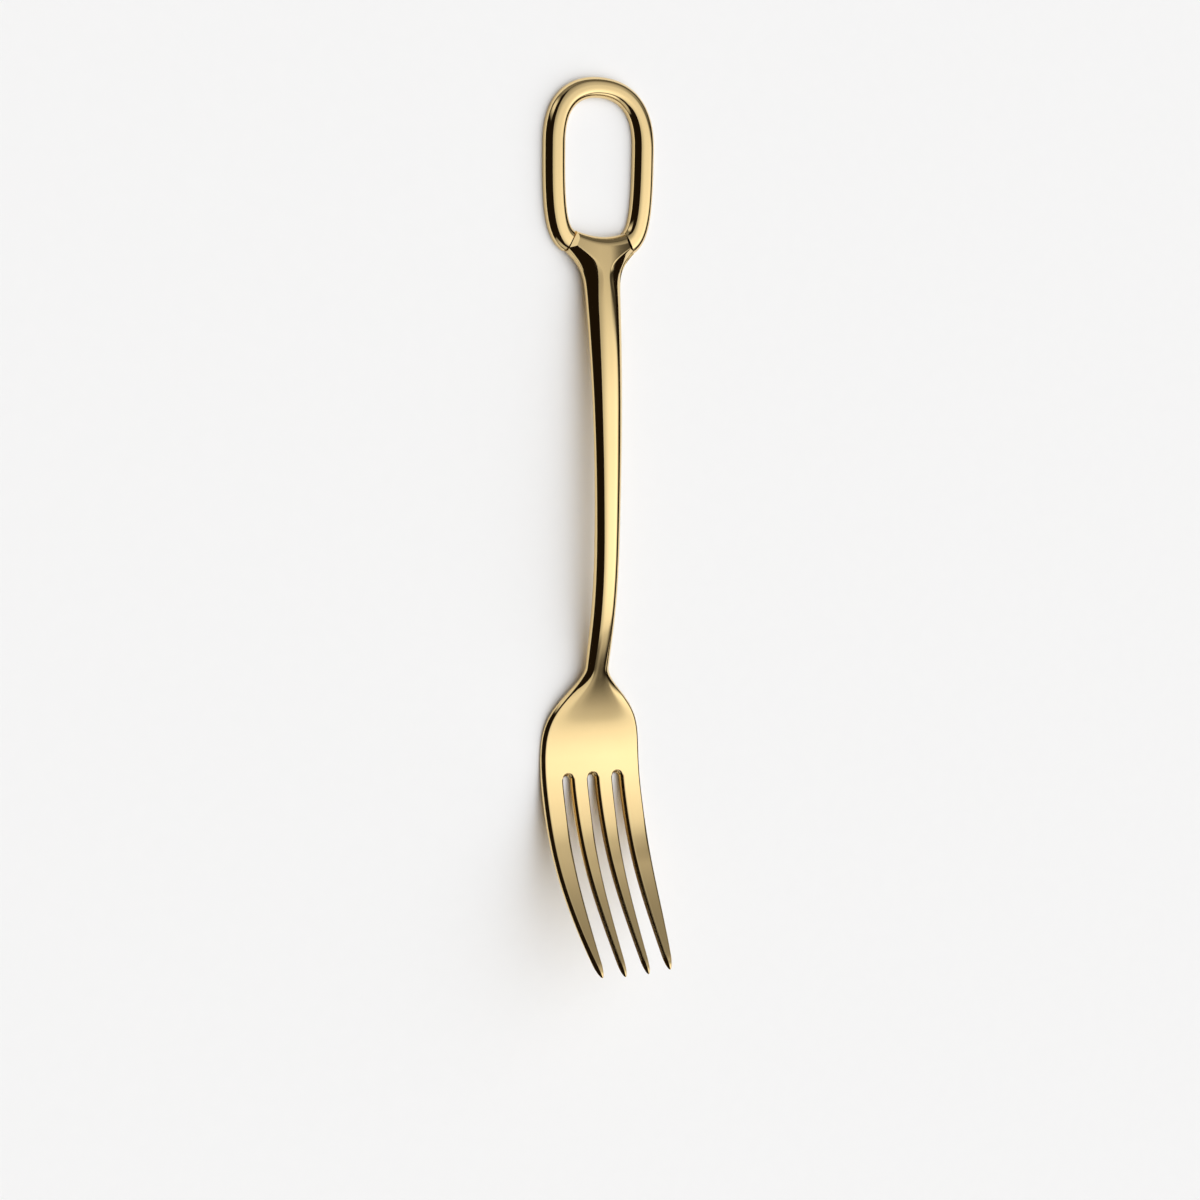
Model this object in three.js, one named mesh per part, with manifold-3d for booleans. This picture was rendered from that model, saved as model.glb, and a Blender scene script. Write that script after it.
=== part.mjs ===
// Table fork with four tines, a slender arched handle and a loop at its end.
// The fork lies on its back: X across, Y along the fork towards the loop, Z up. All sizes in mm.
import * as THREE from 'three';
import { mergeVertices } from 'three/addons/utils/BufferGeometryUtils.js';
import Module from 'manifold-3d';

const wasm = await Module();
wasm.setup();

// Tines
const tineLength = 43; // from the tips of the inner tines to the round ends of the slots
const outerTineSetback = 0.35;
const slotWidth = 1.85;
const slotPitch = 6.68;
const innerTipOffset = 3.12; // tip centres from the fork's centre line
const outerTipOffset = 9.1;
const tineTipWidth = 1.8;
const tineNoseLength = 2.8;
const tineTaperPower = 1.7;
const tineSweepPower = 2.8;
const tipHeight = 21.45; // widest line of the metal at the tips, above the table
const tipFrontRise = 0.8;
const tipBackDrop = 0.25;

// Head
const headWidth = 26.9;
const bellyRun = 4.5; // from the slots' ends to the lowest point of the head
const bellyHeight = 0.4; // widest line of the metal at that point, above the table
const palmRun = 20.6; // from that point to where the neck starts
const plateFrontRise = 1; // front above the widest line
const plateBackDrop = 0.35; // back below the widest line
const plateFlank = 0.64; // reach of the sloping front edges of the head and the tines
const flankRoundness = 1.15; // power of these edges: 1 is a flat chamfer
const shoulderLength = 8.5;
const shoulderPower = 1.85;

// Handle
const neckRun = 54.5; // from the lowest point of the head to the top of the handle's arch
const neckWidth = 6;
const archHeight = 6.53; // widest line of the handle above the table
const shaftRun = 48; // from the top of the arch to the flare
const shaftWidth = 6.4;
const shaftEndWidth = 8.85;
const handleWall = 0.4; // upright part of the sides, above the widest line
const wallRounding = 0.06; // reach of the rounding at its foot
const archPower = 3.6; // of the arch across the handle and the loop's bar: 2 is round, more is flatter
const neckFrontRise = 1.8;
const shaftFrontRise = 1.65;
const neckBackDrop = 1.2;
const shaftBackDrop = 0.7;
const backEdge = 0.6; // reach of the rounding along the back
const backRoundness = 2.2;

// Collar at the end of the handle
const collarRun = 15.9; // from the start of the flare to the hollow edge
const collarHeight = 1.4; // widest line of the collar above the table
const collarFrontRise = 2.2;
const collarBackDrop = 1.35;
const collarWidth = 9.9; // without the flare
const collarEdgeRadius = 19.6; // hollow edge that closes the loop
const collarRoll = 2.6; // reach of the rounding towards the loop
const flareReach = 10;
const flareRise = 2.64; // extra half width at the end of the reach
const flarePower = 5;
const flareLimit = 9;
const bevelRun = 1.1;
const bevelRise = 1.15;

// Loop: a bar bent to a bow, its two ends butted against the collar
const bowBarWidth = 5.45; // at the butt joints and along the sides
const bowCrownWidth = 4.6;
const bowBarThickness = 2.5;
const bowWallHeight = 1.2; // upright part of the bar's sides
const bowBackRadius = 0.3;
const bowWidth = 23.95; // between bar centres
const bowSideRun = 22; // from the butt joints to the widest place
const bowCrownRun = 15.1; // from there to the outside of the loop's end
const bowCrownFullness = 0.65;
const bowSideHandle = 14;
const bowFootHandle = 4;
const seamOffset = 7.67; // middle of each butt joint, from the centre line
const seamDrop = 1.3; // and from the middle of the hollow edge
const seamAngle = 28.6; // degrees, from the bar's direction to the X axis
const seamClearance = 0.3;

// Dowels that locate the bow on the collar
const dowelDiameter = 0.9;
const dowelHeight = 1.5; // above the table
const dowelInCollar = 2.4;
const dowelInBow = 2.2;
const dowelChamfer = 0.2;
const dowelClearance = 0.3;

// Stations along the fork, counted from the tips of the inner tines
const slotHalf = slotWidth / 2;
const slotFloor = tineLength - slotHalf; // centre of the slots' round ends
const bellyStation = tineLength + bellyRun;
const shoulderStation = bellyStation + palmRun;
const archStation = bellyStation + neckRun;
const flareStation = archStation + shaftRun;
const collarStation = flareStation + collarRun;
const seamStation = collarStation - seamDrop;
const bowWidestStation = seamStation + bowSideRun;
const bowEndStation = bowWidestStation + bowCrownRun;

const { lerp } = THREE.MathUtils;
const cutterReach = 15;

const gold = { color: 0xc8a468, roughness: 0.12, metalness: 1 };

// Natural cubic spline through [station, value] knots in rising order
function spline(knots) {
  const count = knots.length;
  const bend = new Array(count).fill(0);
  const pivot = new Array(count).fill(0);
  for (let i = 1; i < count - 1; i += 1) {
    const before = knots[i][0] - knots[i - 1][0];
    const after = knots[i + 1][0] - knots[i][0];
    const slopeBefore = (knots[i][1] - knots[i - 1][1]) / before;
    const slopeAfter = (knots[i + 1][1] - knots[i][1]) / after;
    const share = 2 * (before + after) - before * pivot[i - 1];
    pivot[i] = after / share;
    bend[i] = (6 * (slopeAfter - slopeBefore) - before * bend[i - 1]) / share;
  }
  for (let i = count - 2; i > 0; i -= 1) bend[i] -= pivot[i] * bend[i + 1];
  return (station) => {
    let i = 0;
    while (i < count - 2 && station > knots[i + 1][0]) i += 1;
    const span = knots[i + 1][0] - knots[i][0];
    const left = (knots[i + 1][0] - station) / span;
    const right = 1 - left;
    const lift = (left ** 3 - left) * bend[i] + (right ** 3 - right) * bend[i + 1];
    return left * knots[i][1] + right * knots[i + 1][1] + (lift * span * span) / 6;
  };
}

// Widest line of the metal, seen from the side: each knot is a share of the way and of the height
const tineSwing = [[0, 0], [0.23, 0.35], [0.48, 0.675], [0.76, 0.906]];
const neckSwing = [[0, 0], [0.19, 0.135], [0.395, 0.45], [0.615, 0.82]];
const shaftSwing = [[0, 0], [0.61, 0.376], [1, 1]];

function swing(knots, from, to) {
  return knots.map(([way, rise]) => [lerp(from[0], to[0], way), lerp(from[1], to[1], rise)]);
}

const bellyPlace = [bellyStation, bellyHeight];
const archPlace = [archStation, archHeight];
const spine = spline([
  ...swing(tineSwing, [0, tipHeight], bellyPlace),
  ...swing(neckSwing, bellyPlace, archPlace),
  ...swing(shaftSwing, archPlace, [collarStation, collarHeight]),
]);

const neckStation = lerp(shoulderStation, archStation, 0.4);
const shaftStation = lerp(archStation, flareStation, 0.5);

// Front above the widest line, and back below it
const frontRise = spline([
  [0, tipFrontRise],
  [bellyStation, plateFrontRise],
  [neckStation, neckFrontRise],
  [shaftStation, shaftFrontRise],
  [collarStation, collarFrontRise],
]);
const backDrop = spline([
  [0, tipBackDrop],
  [bellyStation, plateBackDrop],
  [neckStation, neckBackDrop],
  [shaftStation, shaftBackDrop],
  [collarStation, collarBackDrop],
]);

// Half width of the handle without its flare
const shaftHalf = spline([
  [0, neckWidth / 2],
  [neckStation, neckWidth / 2],
  [archStation, shaftWidth / 2],
  [flareStation, shaftEndWidth / 2],
  [collarStation, collarWidth / 2],
]);

// 0 along the handle, rising to 1 over the head
function headShare(station) {
  const past = Math.max(0, shoulderStation - station) / shoulderLength;
  return 1 - Math.exp(-(past ** shoulderPower));
}

function halfWidth(station) {
  const flare = flareRise * (Math.max(0, station - flareStation) / flareReach) ** flarePower;
  const handle = shaftHalf(station) + Math.min(flare, flareLimit);
  return lerp(handle, headWidth / 2, headShare(station));
}

// Rounded edge: 0 on the edge itself, 1 from the reach inwards
function fullness(distance, reach, power) {
  const inside = Math.min(1, distance / reach);
  return inside < 1e-6 ? 0 : (1 - (1 - inside) ** power) ** (1 / power);
}

// Shares of the front's rise and of the back's drop at a distance from an edge of the head
function edgeShares(distance) {
  return [
    fullness(distance, plateFlank, flankRoundness),
    fullness(distance, backEdge, backRoundness),
  ];
}

// Front of a bar: upright up to the wall's height at the sides, arched to the rise in the middle
function arched(x, half, wall, rise) {
  return lerp(rise, wall, Math.abs(x / half) ** archPower);
}

// Place on a face of the metal, above or below the widest line
function onFace(x, station, height) {
  const step = 0.01;
  const rise = (spine(station + step) - spine(station - step)) / (2 * step);
  const normal = new THREE.Vector3(0, -rise, 1).normalize();
  return new THREE.Vector3(x, station, spine(station)).addScaledVector(normal, height);
}

// Collects triangles of point grids and welds them into one geometry
class Skin {
  constructor() {
    this.places = [];
  }

  triangle(a, b, c) {
    const flat = new THREE.Triangle(a, b, c).getArea() < 1e-9;
    if (!flat) for (const p of [a, b, c]) this.places.push(p.x, p.y, p.z);
  }

  // Rows of points, seen with rows going up and columns going right
  grid(rows) {
    for (let r = 0; r + 1 < rows.length; r += 1) {
      for (let c = 0; c + 1 < rows[r].length; c += 1) {
        this.triangle(rows[r][c], rows[r][c + 1], rows[r + 1][c + 1]);
        this.triangle(rows[r][c], rows[r + 1][c + 1], rows[r + 1][c]);
      }
    }
  }

  geometry() {
    const raw = new THREE.BufferGeometry();
    raw.setAttribute('position', new THREE.Float32BufferAttribute(this.places, 3));
    return mergeVertices(raw, 1e-4);
  }
}

// Front and back faces from rows of [x, station, front, back]
function addPlate(skin, rows) {
  const front = rows.map((row) => row.map(([x, s, rise]) => onFace(x, s, rise)));
  const back = rows.map((row) => row.map(([x, s, , drop]) => onFace(x, s, -drop)).reverse());
  skin.grid(front);
  skin.grid(back);
}

const tineColumns = [0, 0.03, 0.08, 0.15, 0.5, 0.85, 0.92, 0.97, 1];
const slotColumns = [0.25, 0.5, 0.75]; // share of the half turn round the slot's end

// Left and right edge of a tine (-2, -1, 1, 2 from left to right) without its nose
function tineEdges(tine, station) {
  const share = (slotFloor - station) / slotFloor;
  const taper = share ** tineTaperPower;
  const tipHalf = tineTipWidth / 2;
  let near = lerp(slotHalf, innerTipOffset - tipHalf, taper);
  let far = lerp(slotPitch - slotHalf, innerTipOffset + tipHalf, taper);
  if (Math.abs(tine) === 2) {
    near = lerp(slotPitch + slotHalf, outerTipOffset - tipHalf, taper);
    far = lerp(halfWidth(slotFloor), outerTipOffset + tipHalf, share ** tineSweepPower);
  }
  return tine > 0 ? [near, far] : [-far, -near];
}

// One tine from its root, a row of points at the slots' round ends, to its rounded nose
function tineRows(tine, root) {
  const tip = Math.abs(tine) === 2 ? outerTineSetback : 0;
  const rows = [root];
  const steps = [0.12, 0.26, 0.4, 0.54, 0.67, 0.79, 0.88, 0.935, 0.965, 0.985, 0.996, 1];
  for (const step of steps) {
    const station = lerp(slotFloor, tip, step);
    const [left, right] = tineEdges(tine, station);
    const nose = fullness(station - tip, tineNoseLength, 2);
    const middle = (left + right) / 2;
    const half = ((right - left) / 2) * nose;
    const row = tineColumns.map((share) => {
      const x = middle + half * (2 * share - 1);
      const nearest = Math.min(share, 1 - share) * (right - left);
      const [front, back] = edgeShares(nearest);
      return [x, station, frontRise(station) * nose * front, backDrop(station) * nose * back];
    });
    rows.push(row);
  }
  return rows.reverse();
}

// Positions across the fork at the slots' round ends, tine and slot by turns
function rootColumns() {
  const columns = [];
  for (const tine of [-2, -1, 1, 2]) {
    const [left, right] = tineEdges(tine, slotFloor);
    for (const share of tineColumns) columns.push({ x: lerp(left, right, share), lift: 0 });
    if (tine === 2) break;
    for (const share of slotColumns) {
      const turn = Math.PI * share;
      columns.push({ x: right + slotHalf * (1 - Math.cos(turn)), lift: slotHalf * Math.sin(turn) });
    }
  }
  return columns;
}

// Point of the head, the handle or the collar, with its front above and back below the widest line
function bodyPoint(x, station, across) {
  const head = headShare(station);
  const edge = across - Math.abs(x);
  const hollowEdge = collarStation + (x * x) / (2 * collarEdgeRadius);
  const roll = fullness(hollowEdge - station, collarRoll, 2);
  const level = Math.min(station, collarStation);
  const rise = frontRise(level);
  const handle = arched(x, across, handleWall, rise) * fullness(edge, wallRounding, 2);
  let [front, back] = edgeShares(edge);
  front = lerp(handle, rise * front, head);
  for (const slot of [-slotPitch, 0, slotPitch]) {
    const gap = Math.hypot(x - slot, station - slotFloor) - slotHalf;
    const [slotFront, slotBack] = edgeShares(gap);
    front *= slotFront;
    back *= slotBack;
  }
  return [x, station, roll * front, backDrop(level) * roll * back];
}

function spread(from, to, count) {
  return Array.from({ length: count }, (_, i) => lerp(from, to, i / count));
}

// Rows from the slots' round ends to the hollow edge of the collar
function bodyRows() {
  const columns = rootColumns();
  const rootHalf = halfWidth(slotFloor);
  const settle = lerp(bellyStation, shoulderStation, 0.15); // the rows are straight from here on
  const rows = [0, 0.02, 0.046, 0.085, 0.24, 0.5].map((share) => columns.map(({ x, lift }) => {
    const station = lerp(slotFloor + lift, settle, share);
    const across = halfWidth(station);
    const place = x * lerp(1, across / rootHalf, share);
    return bodyPoint(place, station, across);
  }));
  const flareShares = [0, 0.2, 0.36, 0.5, 0.6, 0.68, 0.75, 0.82, 0.88, 0.93, 0.97, 0.99, 1];
  const stations = [
    ...spread(settle, shoulderStation, 10),
    ...spread(shoulderStation, flareStation, 10),
    ...flareShares.map((share) => lerp(flareStation, collarStation, share)),
  ];
  for (const level of stations) {
    const across = halfWidth(level);
    const bowed = Math.max(0, level - flareStation) / collarRun;
    rows.push(columns.map(({ x }) => {
      const place = (x / rootHalf) * across;
      const station = level + (bowed * place * place) / (2 * collarEdgeRadius);
      return bodyPoint(place, station, across);
    }));
  }
  return rows;
}

function solid(geometry) {
  const bare = geometry.clone();
  bare.deleteAttribute('normal');
  bare.deleteAttribute('uv');
  const welded = mergeVertices(bare, 1e-4);
  const vertProperties = new Float32Array(welded.attributes.position.array);
  const triVerts = new Uint32Array(welded.index.array);
  return new wasm.Manifold(new wasm.Mesh({ numProp: 3, vertProperties, triVerts }));
}

function toGeometry(manifold) {
  const mesh = manifold.getMesh();
  const geometry = new THREE.BufferGeometry();
  geometry.setAttribute('position', new THREE.BufferAttribute(mesh.vertProperties, 3));
  geometry.setIndex(new THREE.BufferAttribute(mesh.triVerts, 1));
  geometry.computeVertexNormals();
  return geometry;
}

// Frame of a butt joint: X out of the collar along the bar, Z up
function seamFrame(side) {
  const turn = THREE.MathUtils.degToRad(seamAngle);
  const out = new THREE.Vector3(side * Math.cos(turn), Math.sin(turn), 0);
  const up = new THREE.Vector3(0, 0, 1);
  const frame = new THREE.Matrix4().makeBasis(out, new THREE.Vector3().crossVectors(up, out), up);
  return frame.setPosition(side * seamOffset, seamStation, 0);
}

// Removes all beyond a butt joint and bevels the collar's front edge there
function seamCutter(side) {
  const bevelFoot = collarHeight + collarFrontRise - bevelRise;
  const top = bevelFoot + cutterReach;
  const profile = new THREE.Shape();
  profile.moveTo(0, bevelFoot);
  profile.lineTo((-bevelRun / bevelRise) * cutterReach, top);
  profile.lineTo(cutterReach, top);
  profile.lineTo(cutterReach, -cutterReach);
  profile.lineTo(0, -cutterReach);
  const block = new THREE.ExtrudeGeometry(profile, { depth: 2 * cutterReach, bevelEnabled: false });
  block.translate(0, 0, -cutterReach);
  block.rotateX(Math.PI / 2);
  return block.applyMatrix4(seamFrame(side));
}

// Round pin or hole along the bar through a butt joint
function dowelShape(side, diameter, inCollar, inBow, chamfer) {
  const radius = diameter / 2;
  const profile = [
    new THREE.Vector2(0, -inCollar),
    new THREE.Vector2(radius - chamfer, -inCollar),
    new THREE.Vector2(radius, chamfer - inCollar),
    new THREE.Vector2(radius, inBow - chamfer),
    new THREE.Vector2(radius - chamfer, inBow),
    new THREE.Vector2(0, inBow),
  ];
  const pin = new THREE.LatheGeometry(profile, 16);
  pin.rotateZ(-Math.PI / 2);
  pin.translate(0, 0, dowelHeight);
  return pin.applyMatrix4(seamFrame(side));
}

function dowelHole(side) {
  const room = dowelClearance;
  const wide = dowelDiameter + 2 * room;
  return dowelShape(side, wide, dowelInCollar + room, dowelInBow + room, dowelChamfer);
}

// Forged fork: tines, head, handle and collar
function forkBody() {
  const skin = new Skin();
  const rows = bodyRows();
  addPlate(skin, rows);
  [-2, -1, 1, 2].forEach((tine, i) => {
    const first = i * (tineColumns.length + slotColumns.length);
    addPlate(skin, tineRows(tine, rows[0].slice(first, first + tineColumns.length)));
  });
  let body = solid(skin.geometry());
  for (const side of [-1, 1]) {
    body = body.subtract(solid(seamCutter(side)));
    body = body.subtract(solid(dowelHole(side)));
  }
  return toGeometry(body);
}

// Half of the bow's centre line, from one butt joint to the end of the loop
function bowCurves(side) {
  const turn = THREE.MathUtils.degToRad(seamAngle);
  const out = new THREE.Vector2(side * Math.cos(turn), Math.sin(turn));
  const foot = new THREE.Vector2(side * seamOffset, seamStation).addScaledVector(out, seamClearance);
  const widest = new THREE.Vector2((side * bowWidth) / 2, bowWidestStation);
  const crown = new THREE.Vector2(0, bowEndStation - bowCrownWidth / 2);
  const height = crown.y - widest.y;
  return [
    new THREE.CubicBezierCurve(
      foot,
      foot.clone().addScaledVector(out, bowFootHandle),
      widest.clone().setY(widest.y - bowSideHandle),
      widest,
    ),
    new THREE.CubicBezierCurve(
      widest,
      widest.clone().setY(widest.y + height * bowCrownFullness),
      crown.clone().setX(widest.x * bowCrownFullness),
      crown,
    ),
  ];
}

// Section of the bar: flat back on the table, upright sides and an arched front
function barSection(width) {
  const half = width / 2;
  const corner = bowBackRadius * (1 - Math.SQRT1_2);
  const front = [1, 0.95, 0.88, 0.78, 0.65, 0.5, 0.25].map((share) => new THREE.Vector2(
    half * share,
    arched(share, 1, bowWallHeight, bowBarThickness),
  ));
  const right = [
    new THREE.Vector2(half - bowBackRadius, 0),
    new THREE.Vector2(half - corner, corner),
    new THREE.Vector2(half, bowBackRadius),
    ...front,
  ];
  const left = right.map((p) => new THREE.Vector2(-p.x, p.y)).reverse();
  return [...right, new THREE.Vector2(0, bowBarThickness), ...left];
}

// Bow: the bar swept from the left joint round to the right joint, with a dowel hole in each end
function ringBow() {
  const legs = bowCurves(-1);
  const steps = [10, 12];
  const stops = [];
  legs.forEach((leg, i) => {
    for (let k = i === 0 ? 0 : 1; k <= steps[i]; k += 1) {
      const share = k / steps[i];
      const slimming = i === 0 ? 0 : THREE.MathUtils.smoothstep(share, 0, 1);
      const section = barSection(lerp(bowBarWidth, bowCrownWidth, slimming));
      stops.push({ place: leg.getPoint(share), along: leg.getTangent(share), section });
    }
  });
  const mirrored = stops.slice(0, -1).reverse().map(({ place, along, section }) => ({
    place: new THREE.Vector2(-place.x, place.y),
    along: new THREE.Vector2(along.x, -along.y),
    section,
  }));
  const loops = [...stops, ...mirrored].map(({ place, along, section }) => section.map((p) => (
    new THREE.Vector3(place.x + along.y * p.x, place.y - along.x * p.x, p.y)
  )));
  const skin = new Skin();
  skin.grid(loops.map((loop) => [...loop, loop[0]].reverse()));
  const faces = THREE.ShapeUtils.triangulateShape(stops[0].section, []);
  const last = loops[loops.length - 1];
  for (const [a, b, c] of faces) {
    skin.triangle(loops[0][a], loops[0][b], loops[0][c]);
    skin.triangle(last[a], last[c], last[b]);
  }
  let bow = solid(skin.geometry());
  for (const side of [-1, 1]) bow = bow.subtract(solid(dowelHole(side)));
  return toGeometry(bow);
}

const fork = new THREE.Group();
fork.position.y = -bowEndStation / 2;

function addPiece(name, geometry) {
  const piece = new THREE.Mesh(geometry, new THREE.MeshStandardMaterial(gold));
  piece.name = name;
  fork.add(piece);
}

addPiece('fork_body', forkBody());
addPiece('ring_bow', ringBow());
addPiece('left_dowel', dowelShape(-1, dowelDiameter, dowelInCollar, dowelInBow, dowelChamfer));
addPiece('right_dowel', dowelShape(1, dowelDiameter, dowelInCollar, dowelInBow, dowelChamfer));

export default fork;
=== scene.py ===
import math

import bmesh
import bpy
from mathutils import Matrix, Vector


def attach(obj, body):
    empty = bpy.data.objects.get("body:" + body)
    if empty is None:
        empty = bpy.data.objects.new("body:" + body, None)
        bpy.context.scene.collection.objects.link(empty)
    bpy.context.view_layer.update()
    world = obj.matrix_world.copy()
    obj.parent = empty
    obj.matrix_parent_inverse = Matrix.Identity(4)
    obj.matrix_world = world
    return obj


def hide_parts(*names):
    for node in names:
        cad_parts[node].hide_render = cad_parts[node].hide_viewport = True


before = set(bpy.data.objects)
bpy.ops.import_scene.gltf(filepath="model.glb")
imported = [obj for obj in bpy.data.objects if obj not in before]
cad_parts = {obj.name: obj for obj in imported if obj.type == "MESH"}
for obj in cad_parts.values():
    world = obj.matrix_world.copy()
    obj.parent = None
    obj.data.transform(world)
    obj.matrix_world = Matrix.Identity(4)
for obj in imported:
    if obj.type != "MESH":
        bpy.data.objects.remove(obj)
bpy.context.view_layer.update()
print("frame loaded:", ", ".join(sorted(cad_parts)))

mm = 0.001


# a node socket that takes part in sums
class Val:
    def __init__(self, graph, socket):
        self.graph = graph
        self.socket = socket

    def math(self, operation, *terms):
        return self.graph.node("ShaderNodeMath", {"operation": operation}, dict(enumerate(terms)))

    def __add__(self, other):
        return self.math("ADD", self, other)

    def __radd__(self, other):
        return self.math("ADD", other, self)

    def __sub__(self, other):
        return self.math("SUBTRACT", self, other)

    def __rsub__(self, other):
        return self.math("SUBTRACT", other, self)

    def __mul__(self, other):
        return self.math("MULTIPLY", self, other)

    def __rmul__(self, other):
        return self.math("MULTIPLY", other, self)


# node tree of a material, a lamp or the world
class Graph:
    def __init__(self, owner):
        owner.use_nodes = True
        self.tree = owner.node_tree
        self.tree.nodes.clear()

    # node type, its settings, then values or links of its sockets; gives one output
    def node(self, kind, settings=None, inputs=None, output=0):
        made = self.tree.nodes.new(kind)
        for name, value in (settings or {}).items():
            if name == "stops":
                ramp = made.color_ramp
                while len(ramp.elements) < len(value):
                    ramp.elements.new(1)
                for element, (place, level) in zip(ramp.elements, value):
                    element.position = place
                    element.color = (level, level, level, 1)
            else:
                setattr(made, name, value)
        for name, value in (inputs or {}).items():
            if isinstance(value, Val):
                self.tree.links.new(value.socket, made.inputs[name])
            else:
                made.inputs[name].default_value = value
        return Val(self, made.outputs[output]) if made.outputs else None

    def mix(self, share, first, second):
        return self.node("ShaderNodeMix", {"data_type": "RGBA"}, {0: share, 6: first, 7: second}, 2)

    def noise(self, place, scale, detail=2):
        return self.node("ShaderNodeTexNoise", {}, {"Vector": place, "Scale": scale, "Detail": detail})

    # smooth step from 0 at the start to 1 at the end
    def ease(self, value, start, end):
        return self.node("ShaderNodeMapRange", {"interpolation_type": "SMOOTHSTEP"}, {
            "Value": value, "From Min": start, "From Max": end, "To Min": 0, "To Max": 1,
        })

    def split(self, vector):
        parts = self.node("ShaderNodeSeparateXYZ", {}, {"Vector": vector}).socket.node.outputs
        return [Val(self, part) for part in parts]

    # object coordinates, stretched along each axis
    def place(self, stretch):
        bare = self.node("ShaderNodeTexCoord", output="Object")
        return self.node("ShaderNodeMapping", {}, {"Vector": bare, "Scale": stretch})


# camera fitted to the photograph's outline, image taken as 1200 x 1200
cameraPlan = {
    "place": (-317.412, 24.033, 493.482),
    "right": (0.83958129, 0.01421630, 0.54304802),
    "up": (0.02652870, 0.99739181, -0.06712524),
    "back": (-0.54258592, 0.07076346, 0.83701437),
    "sensor": 36, "lens": 2562.883 * 36 / 1200,
    "near": 0.01, "far": 100,
}


def addCamera():
    plan = cameraPlan
    lens = bpy.data.cameras.new("camera")
    lens.sensor_width = plan["sensor"]
    lens.lens = plan["lens"]
    lens.clip_start = plan["near"]
    lens.clip_end = plan["far"]
    camera = bpy.data.objects.new("camera", lens)
    bpy.context.collection.objects.link(camera)
    turn = Matrix([plan["right"], plan["up"], plan["back"]]).transposed().to_4x4()
    camera.matrix_world = Matrix.Translation(Vector(plan["place"]) * mm) @ turn
    bpy.context.scene.camera = camera


addCamera()
print("camera set")

# sizes of the forged fork in mm, from the part's source
fork = {
    "tineLength": 43, "outerTineSetback": 0.35, "slotWidth": 1.85, "slotPitch": 6.68,
    "innerTipOffset": 3.12, "outerTipOffset": 9.1, "tineTipWidth": 1.8, "tineNoseLength": 2.8,
    "tineTaperPower": 1.7, "tineSweepPower": 2.8,
    "tipHeight": 21.45, "tipFrontRise": 0.8, "tipBackDrop": 0.25,
    "headWidth": 26.9, "bellyRun": 4.5, "bellyHeight": 0.4, "palmRun": 20.6,
    "plateFrontRise": 1, "plateBackDrop": 0.35, "plateFlank": 0.64, "flankRoundness": 1.15,
    "shoulderLength": 8.5, "shoulderPower": 1.85,
    "neckRun": 54.5, "neckWidth": 6, "archHeight": 6.53,
    "shaftRun": 48, "shaftWidth": 6.4, "shaftEndWidth": 8.85,
    "handleWall": 0.4, "wallRounding": 0.06, "archPower": 3.6,
    "neckFrontRise": 1.8, "shaftFrontRise": 1.65, "neckBackDrop": 1.2, "shaftBackDrop": 0.7,
    "backEdge": 0.6, "backRoundness": 2.2,
    "collarRun": 15.9, "collarHeight": 1.4, "collarFrontRise": 2.2, "collarBackDrop": 1.35,
    "collarWidth": 9.9, "collarEdgeRadius": 19.6, "collarRoll": 2.6,
    "flareReach": 10, "flareRise": 2.64, "flarePower": 5, "flareLimit": 9,
    "bevelRun": 1.1, "bevelRise": 1.15,
    "neckPlace": 0.4, "shaftPlace": 0.5,
    # bends seen from the side, as shares of their length and height
    "tineBend": [(0, 0), (0.23, 0.35), (0.48, 0.675), (0.76, 0.906)],
    "neckBend": [(0, 0), (0.19, 0.135), (0.395, 0.45), (0.615, 0.82)],
    "handleBend": [(0, 0), (0.61, 0.376), (1, 1)],
    # finer than in the source: the neck's hollow, its arch into the head, the collar's edges and dome
    "neckHollow": [(59, 1.12), (72, 1.75)], "archRunOut": 1.2, "endArchPower": 2.4,
    "shaftFlank": 3.2, "collarFlank": 5, "collarRoundness": 1.15, "collarDome": 0.009,
    "collarStart": 13,
}
# steps of the mesh, then the largest share of a tine's width that an edge takes up,
# and the share of the palm after which the rows run straight across
steps = {
    "edge": 10, "flat": 10, "nose": 16, "tine": 70, "slotEnd": 14, "root": 26, "palm": 46,
    "handle": 110, "collar": 46, "roll": 20, "hole": 32,
    "side": 60, "crown": 64, "backCorner": 8, "wall": 4, "arch": 24,
    "edgeShare": 0.45, "settleShare": 0.15,
}
# the loop, a bar bent to a bow
bow = {
    "barWidth": 5.45, "crownWidth": 4.6, "barThickness": 2.5,
    "wallHeight": 1.2, "backRadius": 0.3,
    "width": 23.95, "sideRun": 22, "crownRun": 15.1, "crownFullness": 0.65,
    "sideHandle": 14, "footHandle": 4,
    "seamOffset": 7.67, "seamDrop": 1.3, "seamAngle": math.radians(28.6), "seamClearance": 0.3,
}
# holes for the hidden dowels
dowel = {"diameter": 0.9, "height": 1.5, "inCollar": 2.4, "inBow": 2.2, "clearance": 0.3}

# stations along the fork, from the tips of the inner tines
slotHalf = fork["slotWidth"] / 2
slotFloor = fork["tineLength"] - slotHalf
bellyStation = fork["tineLength"] + fork["bellyRun"]
shoulderStation = bellyStation + fork["palmRun"]
archStation = bellyStation + fork["neckRun"]
flareStation = archStation + fork["shaftRun"]
collarStation = flareStation + fork["collarRun"]
seamStation = collarStation - bow["seamDrop"]
widestStation = seamStation + bow["sideRun"]
bowEndStation = widestStation + bow["crownRun"]
middleStation = bowEndStation / 2


def lerp(a, b, t):
    return a + (b - a) * t


# eases from 0 to 1
def smooth(t):
    t = min(1, max(0, t))
    return t * t * (3 - 2 * t)


def evenly(a, b, count):
    return [lerp(a, b, i / count) for i in range(count)]


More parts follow.
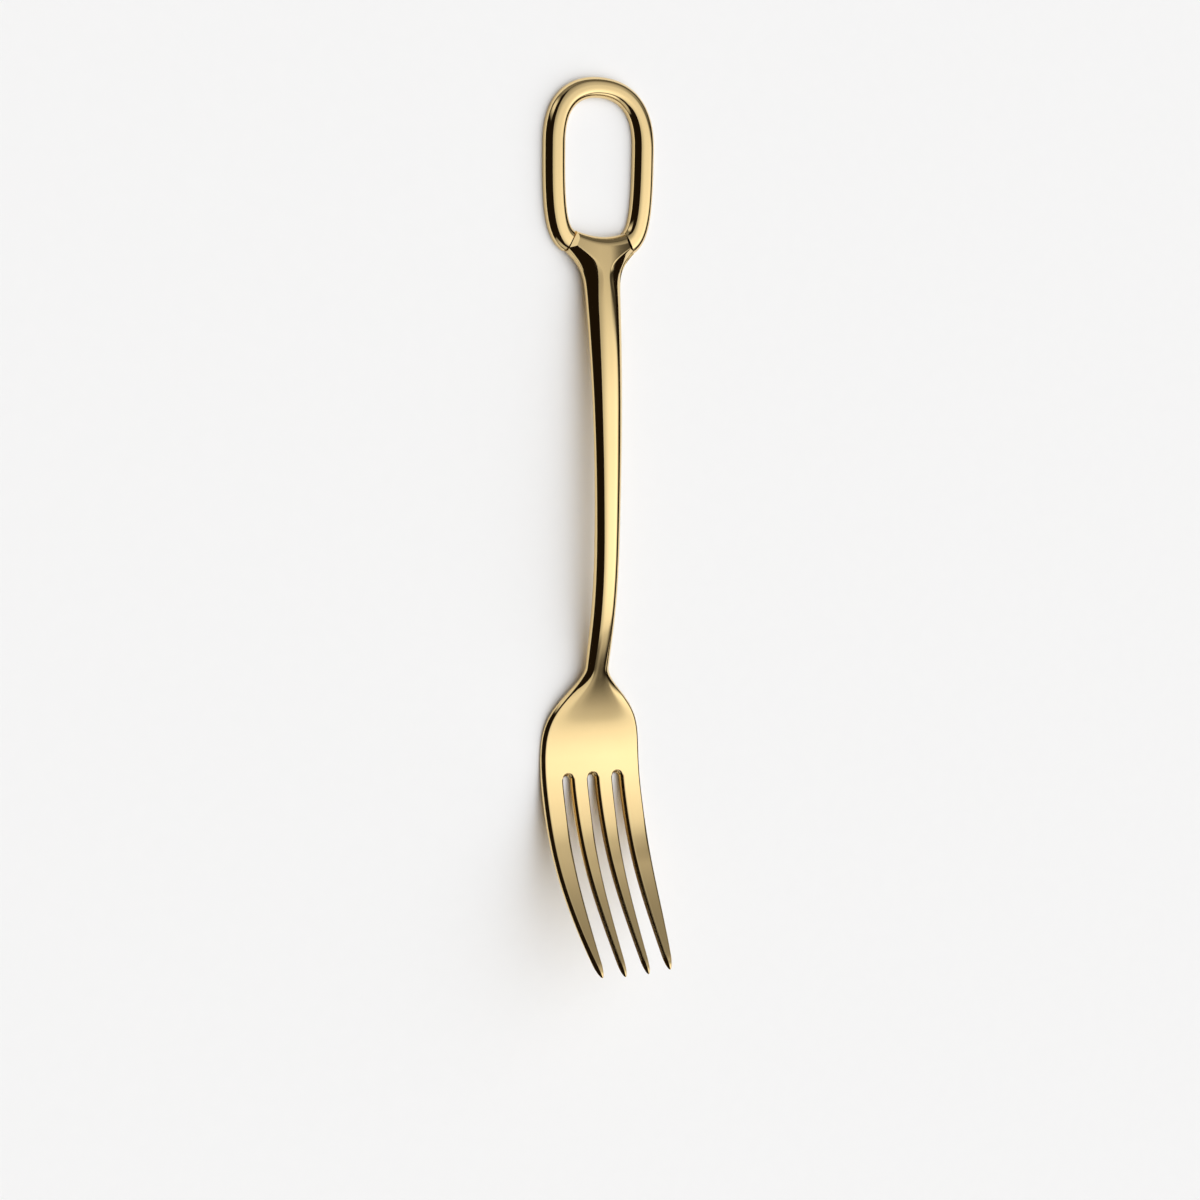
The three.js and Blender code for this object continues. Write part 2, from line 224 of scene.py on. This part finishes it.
# natural cubic spline through knots of (station, value)
def spline(knots):
    count = len(knots)
    bend = [0.0] * count
    pivot = [0.0] * count
    for i in range(1, count - 1):
        before = knots[i][0] - knots[i - 1][0]
        after = knots[i + 1][0] - knots[i][0]
        slopeBefore = (knots[i][1] - knots[i - 1][1]) / before
        slopeAfter = (knots[i + 1][1] - knots[i][1]) / after
        share = 2 * (before + after) - before * pivot[i - 1]
        pivot[i] = after / share
        bend[i] = (6 * (slopeAfter - slopeBefore) - before * bend[i - 1]) / share
    for i in range(count - 2, 0, -1):
        bend[i] -= pivot[i] * bend[i + 1]

    def at(station):
        i = 0
        while i < count - 2 and station > knots[i + 1][0]:
            i += 1
        span = knots[i + 1][0] - knots[i][0]
        left = (knots[i + 1][0] - station) / span
        right = 1 - left
        lift = (left ** 3 - left) * bend[i] + (right ** 3 - right) * bend[i + 1]
        return left * knots[i][1] + right * knots[i + 1][1] + lift * span * span / 6

    return at


def swing(knots, start, end):
    return [(lerp(start[0], end[0], way), lerp(start[1], end[1], rise)) for way, rise in knots]


neckStation = lerp(shoulderStation, archStation, fork["neckPlace"])
shaftStation = lerp(archStation, flareStation, fork["shaftPlace"])
bellyPlace = (bellyStation, fork["bellyHeight"])
archPlace = (archStation, fork["archHeight"])
collarPlace = (collarStation, fork["collarHeight"])
# widest line of the metal seen from the side
spine = spline(
    swing(fork["tineBend"], (0, fork["tipHeight"]), bellyPlace)
    + swing(fork["neckBend"], bellyPlace, archPlace)
    + swing(fork["handleBend"], archPlace, collarPlace)
)
# front above that line, back below it
frontRise = spline([
    (0, fork["tipFrontRise"]), (bellyStation, fork["plateFrontRise"]), *fork["neckHollow"],
    (neckStation, fork["neckFrontRise"]), (shaftStation, fork["shaftFrontRise"]),
    (collarStation, fork["collarFrontRise"]),
])
backDrop = spline([
    (0, fork["tipBackDrop"]), (bellyStation, fork["plateBackDrop"]),
    (neckStation, fork["neckBackDrop"]), (shaftStation, fork["shaftBackDrop"]),
    (collarStation, fork["collarBackDrop"]),
])
# half width of the handle without its flare
shaftHalf = spline([
    (0, fork["neckWidth"] / 2), (neckStation, fork["neckWidth"] / 2),
    (archStation, fork["shaftWidth"] / 2), (flareStation, fork["shaftEndWidth"] / 2),
    (collarStation, fork["collarWidth"] / 2),
])


# 0 along the handle, rising to 1 over the head
def headShare(station):
    past = max(0, shoulderStation - station) / fork["shoulderLength"]
    return 1 - math.exp(-(past ** fork["shoulderPower"]))


def halfWidth(station):
    past = max(0, station - flareStation) / fork["flareReach"]
    flare = min(fork["flareRise"] * past ** fork["flarePower"], fork["flareLimit"])
    return lerp(shaftHalf(station) + flare, fork["headWidth"] / 2, headShare(station))


# rounded edge: 0 on the edge itself, 1 from the reach inwards
def fullness(distance, reach, power):
    inside = min(1, distance / reach)
    return 0 if inside < 1e-6 else (1 - (1 - inside) ** power) ** (1 / power)


# shares of the front's rise and of the back's drop at a distance from an edge of the head
def edgeShares(distance):
    front = fullness(distance, fork["plateFlank"], fork["flankRoundness"])
    return front, fullness(distance, fork["backEdge"], fork["backRoundness"])


# front of a bar: upright up to the wall's height at the sides, arched to the rise in the middle
def arched(x, half, wall, rise, power):
    return lerp(rise, wall, abs(x / half) ** power)


# distances from an edge, as shares of its reach, that follow a rounding evenly
def edgeSteps(count):
    return [1 - math.cos(math.pi / 2 * i / count) for i in range(count + 1)]


def onFace(x, station, height):
    step = 0.01
    rise = (spine(station + step) - spine(station - step)) / (2 * step)
    normal = Vector((0, -rise, 1)).normalized()
    return Vector((x, station, spine(station))) + normal * height


# point of the head, the handle or the collar: its front above and back below the widest line
def bodyPoint(x, station, across):
    edge = across - abs(x)
    level = min(station, collarStation)
    rise = frontRise(level)
    wall = fork["handleWall"]
    rounder = max(0, level - shaftStation) / (collarStation - shaftStation)
    power = lerp(fork["archPower"], fork["endArchPower"], rounder)
    flared = smooth((level - flareStation) / fork["collarStart"])
    flank = lerp(fork["shaftFlank"], fork["collarFlank"], flared)
    collar = lerp(wall, rise, fullness(edge, flank, fork["collarRoundness"]))
    collar = max(wall, collar - fork["collarDome"] * x * x)
    handle = lerp(arched(x, across, wall, rise, power), collar, flared)
    handle *= fullness(edge, fork["wallRounding"], 2)
    front, back = edgeShares(edge)
    front = lerp(handle, rise * front, headShare(station + fork["archRunOut"]))
    if station < bellyStation:
        for slot in (-fork["slotPitch"], 0, fork["slotPitch"]):
            gap = math.hypot(x - slot, station - slotFloor) - slotHalf
            slotFront, slotBack = edgeShares(gap)
            front *= slotFront
            back *= slotBack
    hollowEdge = collarStation + x * x / (2 * fork["collarEdgeRadius"])
    roll = fullness(hollowEdge - station, fork["collarRoll"], 2)
    return x, station, roll * front, backDrop(level) * roll * back


# left and right edge of a tine (-2, -1, 1, 2 from left to right) without its nose
def tineEdges(tine, station):
    share = (slotFloor - station) / slotFloor
    taper = share ** fork["tineTaperPower"]
    tipHalf = fork["tineTipWidth"] / 2
    if abs(tine) == 1:
        near = lerp(slotHalf, fork["innerTipOffset"] - tipHalf, taper)
        far = lerp(fork["slotPitch"] - slotHalf, fork["innerTipOffset"] + tipHalf, taper)
    else:
        near = lerp(fork["slotPitch"] + slotHalf, fork["outerTipOffset"] - tipHalf, taper)
        sweep = share ** fork["tineSweepPower"]
        far = lerp(halfWidth(slotFloor), fork["outerTipOffset"] + tipHalf, sweep)
    return (near, far) if tine > 0 else (-far, -near)


# positions across a tine: crowded at its two edges
def tineColumns(left, right):
    reach = min(fork["plateFlank"], steps["edgeShare"] * (right - left))
    edge = [reach * s for s in edgeSteps(steps["edge"])]
    flat = evenly(left + reach, right - reach, steps["flat"])[1:]
    return [left + d for d in edge] + flat + [right - d for d in reversed(edge)]


# one tine from its nose to its root
def tineRows(tine):
    tip = fork["outerTineSetback"] if abs(tine) == 2 else 0
    stations = [tip + fork["tineNoseLength"] * s for s in edgeSteps(steps["nose"])]
    stations += evenly(stations[-1], slotFloor, steps["tine"])[1:] + [slotFloor]
    rows = []
    for station in stations:
        left, right = tineEdges(tine, station)
        nose = fullness(station - tip, fork["tineNoseLength"], 2)
        middle = (left + right) / 2
        row = []
        for place in tineColumns(left, right):
            front, back = edgeShares(min(place - left, right - place))
            x = lerp(middle, place, nose)
            rise, drop = frontRise(station) * nose, backDrop(station) * nose
            row.append((x, station, rise * front, drop * back))
        rows.append(row)
    return rows


# rows from the slots' round ends to the hollow edge of the collar
def bodyRows():
    columns = []
    for tine in (-2, -1, 1, 2):
        left, right = tineEdges(tine, slotFloor)
        columns += [(x, 0) for x in tineColumns(left, right)]
        if tine < 2:
            for i in range(1, steps["slotEnd"]):
                turn = math.pi * i / steps["slotEnd"]
                columns.append((right + slotHalf * (1 - math.cos(turn)), slotHalf * math.sin(turn)))
    rootHalf = halfWidth(slotFloor)
    settle = lerp(bellyStation, shoulderStation, steps["settleShare"])
    clear = fork["plateFlank"] / (settle - fork["tineLength"])
    shares = [clear * s for s in edgeSteps(steps["edge"])]
    shares += evenly(clear, 1, steps["root"])[1:]
    rows = []
    for share in shares:
        row = []
        for x, lift in columns:
            station = lerp(slotFloor + lift, settle, share)
            across = halfWidth(station)
            place = x * lerp(1, across / rootHalf, share)
            row.append(bodyPoint(place, station, across))
        rows.append(row)
    levels = evenly(settle, shoulderStation, steps["palm"])
    levels += evenly(shoulderStation, flareStation, steps["handle"])
    levels += evenly(flareStation, collarStation - fork["collarRoll"], steps["collar"])
    levels += [collarStation - fork["collarRoll"] * s for s in reversed(edgeSteps(steps["roll"]))]
    for level in levels:
        across = halfWidth(level)
        bowed = max(0, level - flareStation) / fork["collarRun"]
        row = []
        for x, _ in columns:
            place = x / rootHalf * across
            station = level + bowed * place * place / (2 * fork["collarEdgeRadius"])
            row.append(bodyPoint(place, station, across))
        rows.append(row)
    return rows


# collects grids of points in mm, counted from the tips, and makes one mesh in metres
class Skin:
    def __init__(self):
        self.points = []
        self.faces = []

    # rows of points; columns go right, rows go up, the face looks at the reader
    def grid(self, rows):
        first = len(self.points)
        wide = len(rows[0])
        for row in rows:
            self.points += [(p[0] * mm, (p[1] - middleStation) * mm, p[2] * mm) for p in row]
        for r in range(len(rows) - 1):
            for c in range(wide - 1):
                a = first + r * wide + c
                self.faces.append((a, a + 1, a + 1 + wide, a + wide))

    # front and back from rows of (x, station, front, back)
    def plate(self, rows):
        self.grid([[onFace(x, s, front) for x, s, front, _ in row] for row in rows])
        self.grid([[onFace(x, s, -back) for x, s, _, back in reversed(row)] for row in rows])

    def build(self):
        mesh = bmesh.new()
        verts = [mesh.verts.new(p) for p in self.points]
        for face in self.faces:
            mesh.faces.new([verts[i] for i in face]).smooth = True
        bmesh.ops.remove_doubles(mesh, verts=mesh.verts, dist=2e-8)
        bmesh.ops.dissolve_degenerate(mesh, edges=mesh.edges, dist=1e-9)
        return mesh


# middle of a butt joint on the table, and the way out of the collar
def seamFrame(side):
    out = Vector((side * math.cos(bow["seamAngle"]), math.sin(bow["seamAngle"]), 0))
    foot = Vector((side * bow["seamOffset"], seamStation - middleStation, 0))
    return foot * mm, out


# walls of a blind dowel hole; gives the edges of its mouth
def boreHole(mesh, centre, inward, depth):
    count = steps["hole"]
    radius = (dowel["diameter"] / 2 + dowel["clearance"]) * mm
    up = Vector((0, 0, 1))
    across = up.cross(inward)
    rings = []
    for level in (0, depth):
        ring = []
        for i in range(count):
            turn = 2 * math.pi * i / count
            spoke = across * math.cos(turn) + up * math.sin(turn)
            ring.append(mesh.verts.new(centre + spoke * radius + inward * (level * mm)))
        rings.append(ring)
    mouth, floor = rings
    for i in range(count):
        mesh.faces.new((mouth[i - 1], mouth[i], floor[i], floor[i - 1])).smooth = True
    mesh.faces.new(floor)
    return [mesh.edges.get((mouth[i], mouth[i - 1])) for i in range(count)]


# closes the flat open end of a skin on one side, round the mouth of a hole if there is one
def closeEnd(mesh, side, hole=None):
    rim = [e for e in mesh.edges if e.is_boundary and e.verts[0].co.x * side > 0]
    if hole:
        rim += boreHole(mesh, *hole)
    made = bmesh.ops.triangle_fill(mesh, use_beauty=True, use_dissolve=False, edges=rim)
    for edge in rim:
        edge.smooth = False
    for item in made["geom"]:
        if isinstance(item, bmesh.types.BMFace):
            item.smooth = False


def cutAway(mesh, place, normal):
    everything = list(mesh.verts) + list(mesh.edges) + list(mesh.faces)
    bmesh.ops.bisect_plane(
        mesh, geom=everything, dist=1e-9, plane_co=place, plane_no=normal, clear_outer=True,
    )


def addPiece(name, mesh, node):
    bmesh.ops.recalc_face_normals(mesh, faces=mesh.faces)
    data = bpy.data.meshes.new(name)
    mesh.to_mesh(data)
    mesh.free()
    piece = bpy.data.objects.new(name, data)
    bpy.context.collection.objects.link(piece)
    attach(piece, "root")
    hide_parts(node)
    print(name, "made:", len(data.polygons), "faces")
    return piece


# forged fork: tines, head, handle and collar
def makeForkBody():
    skin = Skin()
    skin.plate(bodyRows())
    for tine in (-2, -1, 1, 2):
        skin.plate(tineRows(tine))
    mesh = skin.build()
    up = Vector((0, 0, 1))
    bevelHeight = fork["collarHeight"] + fork["collarFrontRise"] - fork["bevelRise"]
    for side in (-1, 1):
        foot, out = seamFrame(side)
        slope = (out * fork["bevelRise"] + up * fork["bevelRun"]).normalized()
        cutAway(mesh, foot + up * (bevelHeight * mm), slope)
        closeEnd(mesh, side)
        cutAway(mesh, foot, out)
        depth = dowel["inCollar"] + dowel["clearance"]
        closeEnd(mesh, side, (foot + up * (dowel["height"] * mm), -out, depth))
    return addPiece("forkBody", mesh, "fork_body")


def bezier(points, t):
    a, b, c, d = points
    u = 1 - t
    place = a * u ** 3 + b * (3 * u * u * t) + c * (3 * u * t * t) + d * t ** 3
    along = (b - a) * (u * u) + (c - b) * (2 * u * t) + (d - c) * (t * t)
    return place, along.normalized()


# stops along the bow from the left joint to the right joint: place, direction, width of the bar
def bowStops():
    out = Vector((-math.cos(bow["seamAngle"]), math.sin(bow["seamAngle"])))
    foot = Vector((-bow["seamOffset"], seamStation)) + out * bow["seamClearance"]
    widest = Vector((-bow["width"] / 2, widestStation))
    crown = Vector((0, bowEndStation - bow["crownWidth"] / 2))
    rise = Vector((0, (crown.y - widest.y) * bow["crownFullness"]))
    reach = Vector((widest.x * bow["crownFullness"], 0))
    legs = [
        (foot, foot + out * bow["footHandle"], widest - Vector((0, bow["sideHandle"])), widest),
        (widest, widest + rise, crown + reach, crown),
    ]
    stops = [(*bezier(legs[0], share), bow["barWidth"]) for share in evenly(0, 1, steps["side"])]
    for share in evenly(0, 1, steps["crown"]) + [1]:
        width = lerp(bow["barWidth"], bow["crownWidth"], smooth(share))
        stops.append((*bezier(legs[1], share), width))
    back = [(Vector((-p.x, p.y)), Vector((t.x, -t.y)), w) for p, t, w in reversed(stops[:-1])]
    return stops + back


# section of the bar: flat back on the table, upright sides and an arched front
def barSection(width):
    half = width / 2
    back = bow["backRadius"]
    right = []
    for turn in evenly(0, math.pi / 2, steps["backCorner"]):
        right.append((half - back + back * math.sin(turn), back - back * math.cos(turn)))
    right += [(half, level) for level in evenly(back, bow["wallHeight"], steps["wall"])]
    for x in evenly(half, 0, steps["arch"]):
        front = arched(x, half, bow["wallHeight"], bow["barThickness"], fork["archPower"])
        right.append((x, front))
    return right + [(0, bow["barThickness"])] + [(-x, z) for x, z in reversed(right)]


def makeRingBow():
    loops = []
    for place, along, width in bowStops():
        section = barSection(width)
        loops.append([(place.x + along.y * x, place.y - along.x * x, z) for x, z in section])
    skin = Skin()
    skin.grid([[*loop, loop[0]][::-1] for loop in loops])
    mesh = skin.build()
    for side in (-1, 1):
        foot, out = seamFrame(side)
        centre = foot + out * (bow["seamClearance"] * mm) + Vector((0, 0, dowel["height"] * mm))
        depth = dowel["inBow"] + dowel["clearance"] - bow["seamClearance"]
        closeEnd(mesh, side, (centre, out, depth))
    return addPiece("ringBow", mesh, "ring_bow")


forkBody = makeForkBody()
ringBow = makeRingBow()


def shader(graph, inputs):
    surface = graph.node("ShaderNodeBsdfPrincipled", {}, inputs)
    graph.node("ShaderNodeOutputMaterial", {}, {"Surface": surface})


# polished pale gold; the walls between the tines get a painted shade, a dark tone, and a rougher, dull
# polish
gold = {
    "tone": (0.87, 0.665, 0.34, 1), "deepTone": (0.83, 0.62, 0.3, 1), "cloudScale": 90,
    "roughness": 0.05, "haze": 0.05, "hazeScale": 420, "hazeRange": (0.52, 0.78),
    "markScale": 5200, "markStretch": 0.06, "markRoughness": 0.03,
    "bump": 0.05, "bumpDepth": 0.00002,
    # painted shade: dark tone for the walls between the tines
    "paintedWallShade": (0.3, 0.19, 0.08, 1), "wallRoughness": 0.25,
    "wallTilt": (0.6, 0.4), "innerTines": (5.4 * mm, 5 * mm), "wallFade": 1 * mm,
}


# share of the walls between the tines, where the shade is painted and the polish is rougher
def slotWalls(graph):
    x, y, _ = graph.split(graph.node("ShaderNodeNewGeometry", output="Position"))
    side, _, up = graph.split(graph.node("ShaderNodeNewGeometry", output="Normal"))
    slotEnd = (fork["tineLength"] - middleStation) * mm
    steep = graph.ease(up.math("ABSOLUTE", up), *gold["wallTilt"])
    onTines = graph.ease(y, slotEnd + gold["wallFade"], slotEnd)
    inner = graph.ease(x.math("ABSOLUTE", x), *gold["innerTines"])
    inward = graph.ease(x * side, 0, -gold["wallFade"])
    return steep * onTines * inner.math("MAXIMUM", inner, inward)


def goldPolish():
    material = bpy.data.materials.new("goldPolish")
    graph = Graph(material)
    even = graph.place((1, 1, 1))
    drawn = graph.place((1, gold["markStretch"], 1))  # polishing marks run along the fork
    clouds = graph.noise(even, gold["cloudScale"], 3)
    marks = graph.noise(drawn, gold["markScale"], 4)
    haze = graph.ease(graph.noise(even, gold["hazeScale"], 5), *gold["hazeRange"])
    walls = slotWalls(graph)
    tone = graph.mix(clouds, gold["tone"], gold["deepTone"])
    # painted shade: the walls between the tines take a dark tone
    tone = graph.mix(walls, tone, gold["paintedWallShade"])
    roughness = gold["roughness"] + haze * gold["haze"] + marks * gold["markRoughness"]
    roughness = roughness + walls * gold["wallRoughness"]
    bump = graph.node("ShaderNodeBump", {}, {
        "Height": marks, "Strength": gold["bump"], "Distance": gold["bumpDepth"],
    })
    shader(graph, {
        "Base Color": tone, "Metallic": 1, "Roughness": roughness, "Normal": bump,
    })
    return material


# drawn steel of the dowels
steel = {
    "tone": (0.60, 0.59, 0.58, 1), "deepTone": (0.48, 0.47, 0.46, 1), "roughness": 0.32,
    "markScale": 4000, "markStretch": 0.2, "markRoughness": 0.1,
    "bump": 0.2, "bumpDepth": 0.00003,
}


def dowelSteel():
    material = bpy.data.materials.new("dowelSteel")
    graph = Graph(material)
    drawn = graph.place((steel["markStretch"], 1, 1))
    marks = graph.noise(drawn, steel["markScale"], 4)
    tone = graph.mix(marks, steel["tone"], steel["deepTone"])
    roughness = steel["roughness"] + marks * steel["markRoughness"]
    bump = graph.node("ShaderNodeBump", {}, {
        "Height": marks, "Strength": steel["bump"], "Distance": steel["bumpDepth"],
    })
    shader(graph, {
        "Base Color": tone, "Metallic": 1, "Roughness": roughness, "Normal": bump,
    })
    return material


def wear(piece, material):
    piece.data.materials.clear()
    piece.data.materials.append(material)


goldMaterial = goldPolish()
steelMaterial = dowelSteel()
wear(forkBody, goldMaterial)
wear(ringBow, goldMaterial)
for name in ("left_dowel", "right_dowel"):
    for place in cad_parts[name].material_slots:
        place.material = steelMaterial
print("materials set")

# studio: pale floor, a soft sun, and soft panels that show in the metal
studio = {
    "floorTone": 0.94, "floorShade": 0.985, "floorGrain": 260, "floorReach": 12,
    "floorDrop": 0.00005, "floorRoughness": 0.85, "floorGloss": 0.2,
    "sunLevel": 3.45, "sunSpread": math.radians(110), "sunFrom": (0.45, -0.1, 0.88),
    "roomTone": (0.012, 0.008, 0.005, 1),
}
nearSide = [(0, 0.48), (0.1, 0.54), (0.2, 0.7), (0.32, 0.89), (0.45, 1)]
farSide = [(0, 0.6), (0.2, 0.78), (0.3, 0.9)]
# centre and size in metres, level, side that it stands on; levels along Y and across X,
# which turn into others between two places along Y
panels = {
    "overhead": {
        "centre": (0.55, 0.1875, 0.5), "size": (1.1, 1.145), "level": 1.6, "side": (0, 0, 1),
        "along": [
            (-0.385, 0.04), (-0.37, 0.08), (-0.348, 0.24), (-0.31, 0.43), (-0.285, 0.51),
            (-0.265, 0.67), (-0.235, 0.79), (-0.16, 0.93), (-0.09, 1), (0, 0.98), (0.09, 0.85),
            (0.16, 0.67), (0.19, 0.55), (0.22, 0.45), (0.27, 0.43), (0.35, 0.41), (0.45, 0.33),
            (0.6, 0.25), (0.76, 0.2),
        ],
        "across": [
            (0, 0.15), (0.1, 0.2), (0.2, 0.36), (0.28, 0.74), (0.33, 0.89), (0.38, 0.85),
            (0.5, 0.45), (0.7, 0.25), (1.1, 0.05),
        ],
        "turns": [
            ((-0.3, -0.26), nearSide + [(0.58, 1), (0.7, 0.6), (0.85, 0.2), (1.1, 0.05)]),
            ((0.08, 0.13), nearSide + [(0.7, 1), (0.85, 0.6), (1.1, 0.15)]),
            ((0.17, 0.215), farSide + [
                (0.38, 0.88), (0.4, 0.7), (0.43, 0.44), (0.47, 0.2), (0.6, 0.08), (1.1, 0.03),
            ]),
            ((0.27, 0.33), farSide + [(0.36, 0.85), (0.5, 0.7), (0.8, 0.4), (1.1, 0.1)]),
        ],
    },
    "front": {
        "centre": (0.75, -1, 0.5), "size": (1.2, 1.1), "level": 1.2, "side": (0, 0, 1),
        "along": [(-1.55, 0.6), (-0.57, 1), (-0.45, 0)],
        "across": [(0.15, 0), (0.4, 1), (1.35, 0.8)],
    },
    "back": {
        "centre": (0.4, 1.3, 0.41), "size": (2.8, 0.78), "level": 0.25, "side": (0, 1, 0),
        "along": [(1.2, 1), (1.4, 1)],
        "across": [(-1, 0), (-0.3, 1), (0.4, 0.6), (1.8, 0.5)],
    },
    "fore": {
        "centre": (0.2, -2.4, 0.85), "size": (5, 1.2), "level": 0.6, "side": (0, -1, 0),
        "along": [(-2.5, 1), (-2.3, 1)],
        "across": [(-2.3, 0.3), (-1, 1), (1, 1), (2.7, 0.5)],
    },
    "left": {
        "centre": (-0.55, 0.66, 0.36), "size": (0.5, 0.5), "level": 0.9, "side": (-0.6, 0.68, 0.4),
        "along": [(0.42, 0), (0.6, 1), (0.72, 1), (0.9, 0)],
        "across": [(-0.8, 0), (-0.6, 1), (-0.5, 1), (-0.3, 0)],
    },
}


def addFloor():
    reach = studio["floorReach"]
    data = bpy.data.meshes.new("floor")
    corners = [(-reach, -reach, 0), (reach, -reach, 0), (reach, reach, 0), (-reach, reach, 0)]
    data.from_pydata(corners, [], [(0, 1, 2, 3)])
    floor = bpy.data.objects.new("floor", data)
    floor.location.z = -studio["floorDrop"]
    bpy.context.collection.objects.link(floor)
    material = bpy.data.materials.new("paleFloor")
    graph = Graph(material)
    grain = graph.noise(graph.place((1, 1, 1)), studio["floorGrain"], 3)
    level = studio["floorTone"]
    shade = level * studio["floorShade"]
    tone = graph.mix(grain, (level, level, level, 1), (shade, shade, shade, 1))
    shader(graph, {
        "Base Color": tone, "Roughness": studio["floorRoughness"],
        "Specular IOR Level": studio["floorGloss"],
    })
    wear(floor, material)


def addSun():
    lamp = bpy.data.lights.new("sun", "SUN")
    lamp.energy = studio["sunLevel"]
    lamp.angle = studio["sunSpread"]
    sun = bpy.data.objects.new("sun", lamp)
    bpy.context.collection.objects.link(sun)
    sun.rotation_euler = Vector(studio["sunFrom"]).to_track_quat("Z", "Y").to_euler()
    sun.visible_glossy = False  # the panels are what shows in the metal


# levels along one axis of a lamp, from (place in metres, level) pairs
def fade(graph, place, levels):
    low, high = levels[0][0], levels[-1][0]
    stops = [((at - low) / (high - low), level) for at, level in levels]
    way = graph.node("ShaderNodeMapRange", {}, {"Value": place, "From Min": low, "From Max": high})
    return graph.node("ShaderNodeValToRGB", {"stops": stops}, {"Fac": way})


def addPanel(name, plan):
    lamp = bpy.data.lights.new(name, "AREA")
    lamp.shape = "RECTANGLE"
    lamp.size, lamp.size_y = plan["size"]
    lamp.energy = plan["level"] * math.pi * lamp.size * lamp.size_y
    graph = Graph(lamp)
    x, y, _ = graph.split(graph.node("ShaderNodeNewGeometry", output="Position"))
    share = fade(graph, x, plan["across"])
    for (start, end), levels in plan.get("turns", []):
        turned = fade(graph, y, [(start, 0), (end, 1)])
        share = share + (fade(graph, x, levels) - share) * turned
    level = fade(graph, y, plan["along"]) * share
    glow = graph.node("ShaderNodeEmission", {}, {"Color": level, "Strength": 1})
    graph.node("ShaderNodeOutputLight", {}, {"Surface": glow})
    panel = bpy.data.objects.new(name, lamp)
    bpy.context.collection.objects.link(panel)
    panel.location = plan["centre"]
    panel.rotation_euler = Vector(plan["side"]).to_track_quat("Z", "Y").to_euler()
    panel.visible_camera = False
    panel.visible_diffuse = False  # the sun alone lights the floor


def addRoom():
    world = bpy.data.worlds.new("room")
    bpy.context.scene.world = world
    graph = Graph(world)
    glow = graph.node("ShaderNodeBackground", {}, {"Color": studio["roomTone"], "Strength": 1})
    graph.node("ShaderNodeOutputWorld", {}, {"Surface": glow})


addFloor()
addSun()
addRoom()
for name, plan in panels.items():
    addPanel(name, plan)
bpy.context.scene.view_settings.view_transform = "Standard"
print("studio set")
